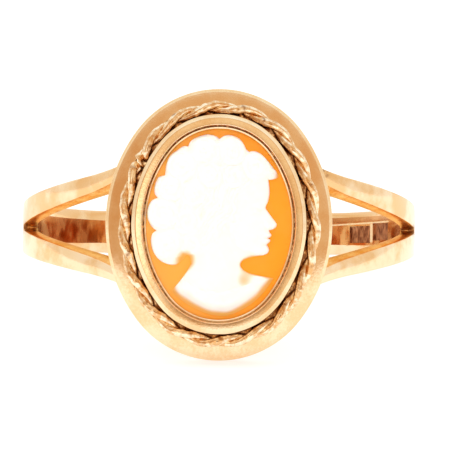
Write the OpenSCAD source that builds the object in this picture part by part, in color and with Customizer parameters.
// Cameo ring with a split-shoulder shank, an oval plate, a rope border and a bezel-set shell cameo.
// Millimetres. The ring lies on its side as it rests by itself: on the plate's lower edge and on the
// lower edge of the shank's back. +Z is up, and the face looks towards -Y and slightly up.

/* [Shank] */
// Radius of the finger hole
hole_r = 9.05; // [8:0.05:10.5]
// Thickness of the shank
shank_t = 0.7; // [0.5:0.05:1.5]
// Width of the band at the back of the finger
back_w = 2.14; // [1.6:0.02:3]
// Width of the band at the sides, where the shoulders begin to split
side_w = 2.5; // [2.2:0.02:4]
// Width across both arms of a shoulder at their ends, under the plate
shoulder_w = 6.2; // [5.6:0.05:7.5]
// Width of the slit between the two arms at their ends
slit_w = 4.9; // [3.6:0.02:5.2]
// Angle from the face, round the finger, at which the slit's two sides would meet
slit_from = 87; // [80:1:89]
// Radius of the rounded end of the slit
slit_tip_r = 0.25; // [0.12:0.01:0.35]
// Half the width of the clear space between the ends of the arms under the plate
arm_end_x = 3; // [2:0.05:3.6]

/* [Cameo] */
// Length of the cameo, along the finger
stone_l = 10.1; // [9:0.05:13]
// Width of the cameo, across the finger
stone_w = 7.95; // [6.5:0.05:8.8]
// Radius of the dome on the front of the shell
dome_r = 40; // [25:1:90]
// Highest relief of the figure above the ground
relief_h = 0.62; // [0.3:0.02:1]
// Height of the figure's edge above the ground
relief_edge = 0.16; // [0.08:0.02:0.3]

/* [Setting] */
// Thickness of the plate
plate_t = 0.85; // [0.6:0.05:1.5]
// Distance from the finger hole to the underside of the plate, at the middle
plate_lift = 0.15; // [0.05:0.05:0.4]
// Thickness of the ledge that the cameo sits on
ledge_t = 0.6; // [0.4:0.05:0.8]
// Width of the ledge, measured inwards from the bezel
ledge_w = 0.8; // [0.4:0.05:1.5]
// Thickness of the bezel wall
bezel_t = 0.2; // [0.15:0.01:0.35]
// Height of the bezel above the plate
bezel_rise = 1; // [0.8:0.05:1.6]
// How far the burnished lip reaches over the cameo
lip_w = 0.5; // [0.3:0.02:0.7]
// Drop from the top of the bezel to the edge of the lip
lip_drop = 0.25; // [0.15:0.01:0.35]
// Thickness of the lip at its edge
lip_t = 0.08; // [0.05:0.01:0.15]

/* [Rope border] */
// Width of the twisted rope
rope_d = 0.64; // [0.5:0.02:0.9]
// Number of full turns of twist all the way round
rope_turns = 10; // [6:1:16]
// Turn of the twist at its start, in degrees
rope_phase = 25; // [0:5:180]

/* [Rim] */
// Width of the plain rim outside the rope
rim_w = 0.59; // [0.4:0.01:1]
// Drop of the rim towards its outer edge
rim_drop = 0.2; // [0.1:0.01:0.35]
// Size of the bevels on the outer edge of the plate
rim_bevel = 0.14; // [0.08:0.01:0.2]

/* [Blank stamps] */
// Length of each stamp, around the finger
stamp_l = 1.6; // [1:0.05:1.7]
// Height of each stamp, along the finger
stamp_w = 0.85; // [0.5:0.05:1.1]
// Depth of each stamp
stamp_depth = 0.1; // [0.05:0.01:0.2]

/* [Fit] */
// Clearance between one piece and the next
gap = 0.02; // [0.01:0.005:0.05]

/* [Hidden] */
$fn = 120;
GOLD = [0.93, 0.75, 0.5];
ROPE_GOLD = [0.86, 0.64, 0.38];
SHELL_ORANGE = [0.97, 0.66, 0.3];
SHELL_WHITE = [0.99, 0.96, 0.93];
ANY = 40;

shank_r = hole_r + shank_t;

// Heights above the finger axis, towards the viewer of the face
plate_bottom = hole_r + plate_lift;
plate_top = plate_bottom + plate_t;
ledge_top = plate_bottom + ledge_t;
bezel_top = plate_top + bezel_rise;
lip_top = bezel_top - lip_drop;
lip_bottom = lip_top - lip_t;

// A four-arc oval: two end arcs and two side arcs that meet without a corner. The centres of an end
// arc and a side arc and the middle of the oval make a 3-4-5 triangle, whose unit is k.
// Every edge of the head lies at its own distance u outside the cameo's oval.
half_l = stone_l / 2;
half_w = stone_w / 2;
k = (half_l - half_w) / 2;
end_c = 3 * k;
side_c = 4 * k;
end_r = half_w - k;
side_r = half_w + 4 * k;
meet = atan2(3, 4);

rope_u = bezel_t + gap + rope_d / 2;
rope_h = plate_top + gap + rope_d / 2;
// Each strand is flattened against the other: its section is thin across the twist and broad along it
strand_thin = (rope_d - gap) / 2;
strand_broad = 0.65 * rope_d;
twist_r = (strand_thin + gap) / 2;
rim_u = rope_u + rope_d / 2 + rim_w;
rim_in_u = rope_u + rope_d / 2;

// The cameo: its dome clears the lip at the narrow sides
stone_u = -gap;
stone_back = ledge_top + gap;
window_w = half_w - lip_w;
window_l = half_l - lip_w;
dome_top = lip_bottom - gap + window_w * window_w / (2 * dome_r);

// The rest pose: the plate's lower edge and the lower edge of the shank's back both touch z = 0
foot_y = -(plate_bottom + rim_bevel);
foot_z = -(half_l + rim_u);
heel_y = shank_r;
heel_z = -back_w / 2;
rest_tilt = atan2(heel_z - foot_z, heel_y - foot_y);
bezel_front = -bezel_top * cos(rest_tilt) - half_l * sin(rest_tilt);
heel_back = shank_r * cos(rest_tilt) + back_w / 2 * sin(rest_tilt);
rest_y = -(bezel_front + heel_back) / 2;
rest_z = foot_y * sin(rest_tilt) - foot_z * cos(rest_tilt);

// Angle from the face at which the arms end, and the shoulders' outline.
// t runs from 0 at the side of the finger to 1 at the arms' ends.
head_angle = asin(arm_end_x / shank_r);
FLARE_POWER = 1.3;
TAPER_ANGLE = 45;
function shoulder_t(a) = (90 - a) / (90 - head_angle);
function half_band(a) = a > 90
    ? side_w / 2 - (side_w - back_w) / 2 * min(1, (a - 90) / TAPER_ANGLE)
    : side_w / 2 + (shoulder_w - side_w) / 2 * pow(shoulder_t(a), FLARE_POWER);
// The slit widens evenly along the side view from its tip, and flares towards the plate
SLIT_EVEN = 0.56;
SLIT_FLARE = 4;
slit_run = cos(head_angle) - cos(slit_from);
function slit_share(a) = max(0, cos(a) - cos(slit_from)) / slit_run;
function half_slit(a) = slit_w / 2 * (SLIT_EVEN * slit_share(a) + (1 - SLIT_EVEN) * pow(slit_share(a), SLIT_FLARE));
slit_start = acos(cos(slit_from) + slit_run * slit_tip_r / (SLIT_EVEN * slit_w / 2));
// The arms' outside leaves the round at one angle from the face and rises to the plate at the other
RISE_FROM = 40;
RISE_SLOPE = 44;
PAST_HEAD = 12;
BAND_STEPS = 30;
SLIT_STEPS = 12;

module at_rest() {
    translate([0, rest_y, rest_z]) rotate([-rest_tilt, 0, 0]) children();
}

// Turns a drawing with x across, y along the finger and z out of the face into the ring's own frame
module on_face() {
    rotate([90, 0, 0]) children();
}

// Half of an end arc and half of a side arc, from the line where the two meet to past the oval's axes
PAST = 6;
module end_sector() {
    translate([0, end_c, 0]) rotate([0, 0, meet]) rotate_extrude(angle = 90 - meet + PAST) children();
}

module side_sector() {
    translate([-side_c, 0, 0]) rotate([0, 0, meet]) rotate_extrude(angle = -meet - PAST) children();
}

// One quarter of a sweep round the oval, cut at the oval's axes
module quarter_sweep() {
    intersection() {
        end_sector() translate([end_r, 0]) children();
        translate([0, -ANY, 0]) cube(2 * ANY);
    }
    intersection() {
        side_sector() translate([side_r, 0]) children();
        translate([-ANY, 0, 0]) cube(2 * ANY);
    }
}

module four_quarters() {
    for (flip_x = [0, 1], flip_y = [0, 1])
        mirror([flip_x, 0, 0]) mirror([0, flip_y, 0]) children();
}

// Sweeps a profile, drawn as distance u and height, round the whole oval
module oval_sweep() {
    four_quarters() quarter_sweep() children();
}

// The oval as an area: what both side circles cover between the lines where the arcs meet, and the two
// end circles beyond those lines
module oval_area(u) {
    far_x = ANY * cos(meet);
    far_y = end_c + ANY * sin(meet);
    intersection() {
        translate([-side_c, 0]) circle(side_r + u);
        translate([side_c, 0]) circle(side_r + u);
        polygon([[0, end_c], [far_x, far_y], [far_x, -far_y], [0, -end_c], [-far_x, -far_y], [-far_x, far_y]]);
    }
    for (flip = [0, 1]) mirror([0, flip]) intersection() {
        translate([0, end_c]) circle(end_r + u);
        polygon([[0, end_c], [far_x, far_y], [-far_x, far_y]]);
    }
}

module oval_block(u, low, high) {
    translate([0, 0, low]) linear_extrude(high - low) oval_area(u);
}

// Half of the band's outline seen from the side: y across, z up
module band_outline() {
    steps = [for (i = [0:BAND_STEPS]) (head_angle - PAST_HEAD) + (180 - head_angle + PAST_HEAD) * i / BAND_STEPS];
    upper = [for (a = steps) [-shank_r * cos(a), half_band(a)]];
    lower = [for (i = [BAND_STEPS:-1:0]) [-shank_r * cos(steps[i]), -half_band(steps[i])]];
    polygon(concat(upper, lower));
}

module slit_outline() {
    steps = [for (i = [0:SLIT_STEPS]) slit_start + (head_angle - PAST_HEAD - slit_start) * i / SLIT_STEPS];
    upper = [for (a = steps) [-shank_r * cos(a), half_slit(a)]];
    lower = [for (i = [SLIT_STEPS:-1:0]) [-shank_r * cos(steps[i]), -half_slit(steps[i])]];
    polygon(concat(upper, lower));
    translate([-shank_r * cos(slit_start), 0]) circle(slit_tip_r);
}

// Draws a side view's outline through the whole ring, from left to right
module through_sides() {
    rotate([90, 0, 90]) translate([0, 0, -ANY / 2]) linear_extrude(ANY) children();
}

// Leaves the space under the cameo open: the arms end in slanting feet under the plate
module arm_end_cut() {
    slant = 0.75 * shank_t;
    low = -(plate_bottom + plate_t / 2);
    high = -(hole_r - 2 * shank_t);
    translate([0, 0, -ANY / 2]) linear_extrude(ANY)
        polygon([[-arm_end_x, low], [arm_end_x, low], [arm_end_x + slant, high], [-arm_end_x - slant, high]]);
}

// The outside of the arms near the head, as a block across the face
module arm_rise() {
    inside = shank_r / 20;
    leave_x = shank_r * sin(RISE_FROM);
    leave_y = shank_r * cos(RISE_FROM);
    top = plate_bottom + plate_t / 2;
    top_x = leave_x - (top - leave_y) / tan(RISE_SLOPE);
    low_x = leave_x + inside * cos(RISE_SLOPE);
    low = leave_y - inside * sin(RISE_SLOPE);
    translate([0, 0, -ANY / 2]) linear_extrude(ANY)
        polygon([[-low_x, -low], [-top_x, -top], [top_x, -top], [low_x, -low]]);
}

module shank() {
    difference() {
        intersection() {
            union() {
                cylinder(r = shank_r, h = ANY, center = true);
                arm_rise();
            }
            through_sides() band_outline();
            translate([-ANY / 2, -(plate_bottom + plate_t / 4), -ANY / 2]) cube(ANY);
        }
        // The hole's seam lies in its open front
        rotate([0, 0, -90]) cylinder(r = hole_r, h = ANY, center = true);
        through_sides() slit_outline();
        arm_end_cut();
        stamps();
    }
}

// Two blank rectangular marks inside the shank, at the right and towards the back
module stamps() {
    STAMP_ANGLE = 0;
    STAMP_DROP = 1;
    STAMPS = [[37.5, 0.08], [25.5, -0.06]];
    from_r = hole_r - stamp_w;
    for (mark = STAMPS) rotate([0, 0, mark[STAMP_ANGLE]])
        translate([from_r, -stamp_l / 2, -stamp_w * (1 / 2 + mark[STAMP_DROP])])
            cube([stamp_w + stamp_depth, stamp_l, stamp_w]);
}

// Plate, rim, bezel and ledge in one profile: distance outside the cameo's oval, height
module head_profile() {
    polygon([
        [-ledge_w, plate_bottom],
        [rim_u - rim_bevel, plate_bottom],
        [rim_u, plate_bottom + rim_bevel],
        [rim_u, plate_top - rim_drop - rim_bevel],
        [rim_u - rim_bevel, plate_top - rim_drop],
        [rim_in_u, plate_top],
        [bezel_t, plate_top],
        [bezel_t, bezel_top - lip_drop],
        [bezel_t * 0.8, bezel_top - lip_drop * 0.55],
        [bezel_t * 0.3, bezel_top - lip_drop * 0.25],
        [-0.6 * lip_w, bezel_top],
        [-0.75 * lip_w, bezel_top - lip_drop * 0.1],
        [-lip_w, lip_top],
        [-lip_w, lip_bottom],
        [0, lip_bottom],
        [0, ledge_top],
        [-ledge_w, ledge_top],
    ]);
}

module ring_mount() {
    color(GOLD) at_rest() {
        shank();
        on_face() oval_sweep() head_profile();
    }
}

// A point on the oval at distance u and at length s along it: x, y and the outward angle.
// The length starts at the middle of the right side and runs anticlockwise.
function side_run(u) = (side_r + u) * meet * PI / 180;
function quarter(u) = side_run(u) + (end_r + u) * (90 - meet) * PI / 180;
function in_quarter(u, s) = s < side_run(u)
    ? let (a = s / (side_r + u) * 180 / PI) [(side_r + u) * cos(a) - side_c, (side_r + u) * sin(a), a]
    : let (a = meet + (s - side_run(u)) / (end_r + u) * 180 / PI)
        [(end_r + u) * cos(a), end_c + (end_r + u) * sin(a), a];
function oval_point(u, s) = let (
        n = floor(s / quarter(u)) % 4,
        rest = s - floor(s / quarter(u)) * quarter(u),
        back = n % 2 == 1,
        p = in_quarter(u, back ? quarter(u) - rest : rest)
    )
    n == 0 ? p
    : n == 1 ? [-p[0], p[1], 180 - p[2]]
    : n == 2 ? [-p[0], -p[1], 180 + p[2]]
    : [p[0], -p[1], -p[2]];

// One wire of the rope: a closed tube whose middle circles round the rope's own line
ROPE_SIDES = 8;
RINGS_PER_TURN = 12;
module rope_strand(phase) {
    rings = rope_turns * RINGS_PER_TURN;
    points = [for (i = [0:rings - 1]) let (
            p = oval_point(rope_u, 4 * quarter(rope_u) * i / rings),
            twist = 360 * i / RINGS_PER_TURN + phase
        )
        for (side = [0:ROPE_SIDES - 1]) let (
            a = 360 * side / ROPE_SIDES,
            thin = twist_r + strand_thin / 2 * cos(a),
            broad = strand_broad / 2 * sin(a),
            out = thin * cos(twist) - broad * sin(twist),
            up = thin * sin(twist) + broad * cos(twist)
        )
        [p[0] + out * cos(p[2]), p[1] + out * sin(p[2]), rope_h + up]];
    faces = [for (i = [0:rings - 1], side = [0:ROPE_SIDES - 1]) let (
            next_ring = (i + 1) % rings,
            next_side = (side + 1) % ROPE_SIDES,
            a = i * ROPE_SIDES + side,
            b = next_ring * ROPE_SIDES + side,
            c = next_ring * ROPE_SIDES + next_side,
            d = i * ROPE_SIDES + next_side
        )
        each [[a, b, c], [a, c, d]]];
    polyhedron(points, faces);
}

module rope_strand_a() {
    color(ROPE_GOLD) at_rest() on_face() rope_strand(rope_phase);
}

module rope_strand_b() {
    color(ROPE_GOLD) at_rest() on_face() rope_strand(rope_phase + 180);
}

module cameo_ground() {
    color(SHELL_ORANGE) at_rest() on_face() intersection() {
        oval_block(stone_u, stone_back, dome_top + relief_h);
        // The sphere's poles and seam lie far from the dome
        translate([0, 0, dome_top - dome_r]) rotate([90, 0, 0]) sphere(dome_r, $fn = 300);
    }
}

function dome_at(x, y) = dome_top - dome_r + sqrt(dome_r * dome_r - x * x - y * y);

// The figure's rows from the bust up to the crown of the hair, as shares of the open window's half
// height and half width: height of the row, left edge, right edge, front of the hair, relief
ROW_Y = 0;
ROW_LEFT = 1;
ROW_RIGHT = 2;
ROW_HAIR = 3;
ROW_RELIEF = 4;
FIGURE_ROWS = [
    [-0.965, -0.05, 0.1, -1, 0.3],
    [-0.85, -0.44, 0.43, -1, 0.5],
    [-0.7, -0.65, 0.68, -1, 0.75],
    [-0.585, -0.5, 0.75, -1, 0.75],
    [-0.5, -0.41, 0.34, -1, 0.6],
    [-0.42, -0.39, 0.31, -0.39, 0.62],
    [-0.41, -0.7, 0.31, -0.28, 0.65],
    [-0.36, -0.76, 0.38, -0.2, 0.7],
    [-0.32, -0.8, 0.6, -0.12, 0.78],
    [-0.265, -0.83, 0.68, -0.04, 0.82],
    [-0.215, -0.84, 0.65, 0, 0.84],
    [-0.18, -0.85, 0.69, 0.03, 0.85],
    [-0.145, -0.85, 0.675, 0.06, 0.86],
    [-0.11, -0.85, 0.71, 0.08, 0.87],
    [-0.06, -0.85, 0.68, 0.1, 0.88],
    [0, -0.86, 0.78, 0.12, 0.9],
    [0.06, -0.87, 0.755, 0.14, 0.92],
    [0.17, -0.86, 0.655, 0.2, 0.95],
    [0.22, -0.85, 0.66, 0.24, 0.96],
    [0.33, -0.83, 0.675, 0.34, 0.96],
    [0.45, -0.8, 0.68, 0.52, 0.94],
    [0.5, -0.78, 0.78, 0.78, 0.93],
    [0.56, -0.76, 0.79, 0.79, 0.92],
    [0.68, -0.66, 0.66, 0.66, 0.88],
    [0.78, -0.55, 0.46, 0.46, 0.8],
    [0.88, -0.42, 0.34, 0.34, 0.7],
    [0.95, -0.26, 0.2, 0.2, 0.55],
];
FIGURE_STEPS = 54;
FIGURE_COLUMNS = 22;

// The locks that hang over the back of the head swell its outline between one notch and the next
LOCKS_FROM = -0.41;
LOCK_NOTCH = -0.072;
LOCK_PITCH = 0.357;
LOCK_SWELL = 0.11;
EDGE_ROUND = 0.55;
CURL_SIZE = 1;
CURL_DEPTH = 0.13;
HAIR_RISE = 0.08;

function column(y, c) = lookup(y, [for (row = FIGURE_ROWS) [row[ROW_Y], row[c]]]);
function lock_swell(y) = y < LOCKS_FROM ? 0
    : LOCK_SWELL * sqrt(abs(sin(180 * (y - LOCK_NOTCH) / LOCK_PITCH))) * (1 - max(0, y));
function wave(along) = cos(360 * along / CURL_SIZE);
function curls(x, y) = (wave(x) + wave(x * cos(60) + y * sin(60)) + wave(x * cos(60) - y * sin(60))) / 3;

// Height of the figure above the ground: round at its edges, and fuller and curled over the hair
function relief(x, y, to_edge, front_of_hair, share) = let (
        far = 1 - min(1, to_edge / EDGE_ROUND),
        round_off = sqrt(max(0, 1 - far * far)),
        hair = x < front_of_hair ? HAIR_RISE + CURL_DEPTH * curls(x, y) : 0
    )
    relief_edge + (relief_h - relief_edge) * round_off * (share - HAIR_RISE - CURL_DEPTH + hair);

module figure_solid() {
    reach_w = window_w - gap;
    reach_l = window_l - gap;
    low_y = FIGURE_ROWS[0][ROW_Y];
    high_y = FIGURE_ROWS[len(FIGURE_ROWS) - 1][ROW_Y];
    across = FIGURE_COLUMNS + 1;
    top = [for (i = [0:FIGURE_STEPS]) let (
            y = low_y + (high_y - low_y) * i / FIGURE_STEPS,
            left = (column(y, ROW_LEFT) - lock_swell(y)) * reach_w,
            right = column(y, ROW_RIGHT) * reach_w,
            front_of_hair = column(y, ROW_HAIR) * reach_w,
            share = column(y, ROW_RELIEF)
        )
        for (c = [0:FIGURE_COLUMNS]) let (
            x = left + (right - left) * c / FIGURE_COLUMNS,
            to_edge = min(x - left, right - x)
        )
        [x, y * reach_l, dome_at(x, y * reach_l) + gap + relief(x, y * reach_l, to_edge, front_of_hair, share)]];
    under = [for (p = top) [p[0], p[1], dome_at(p[0], p[1]) + gap]];
    low = len(top);
    top_faces = [for (i = [0:FIGURE_STEPS - 1], c = [0:FIGURE_COLUMNS - 1]) let (a = i * across + c)
        each [[a, a + across, a + across + 1], [a, a + across + 1, a + 1]]];
    under_faces = [for (f = top_faces) [f[2] + low, f[1] + low, f[0] + low]];
    rim = concat(
        [for (c = [0:FIGURE_COLUMNS - 1]) c],
        [for (i = [0:FIGURE_STEPS - 1]) i * across + FIGURE_COLUMNS],
        [for (c = [FIGURE_COLUMNS:-1:1]) FIGURE_STEPS * across + c],
        [for (i = [FIGURE_STEPS:-1:1]) i * across]
    );
    walls = [for (i = [0:len(rim) - 1]) let (a = rim[i], b = rim[(i + 1) % len(rim)])
        each [[a, b, b + low], [a, b + low, a + low]]];
    polyhedron(concat(top, under), concat(top_faces, under_faces, walls));
}

module cameo_figure() {
    color(SHELL_WHITE) at_rest() on_face() figure_solid();
}

ring_mount();
rope_strand_a();
rope_strand_b();
cameo_ground();
cameo_figure();
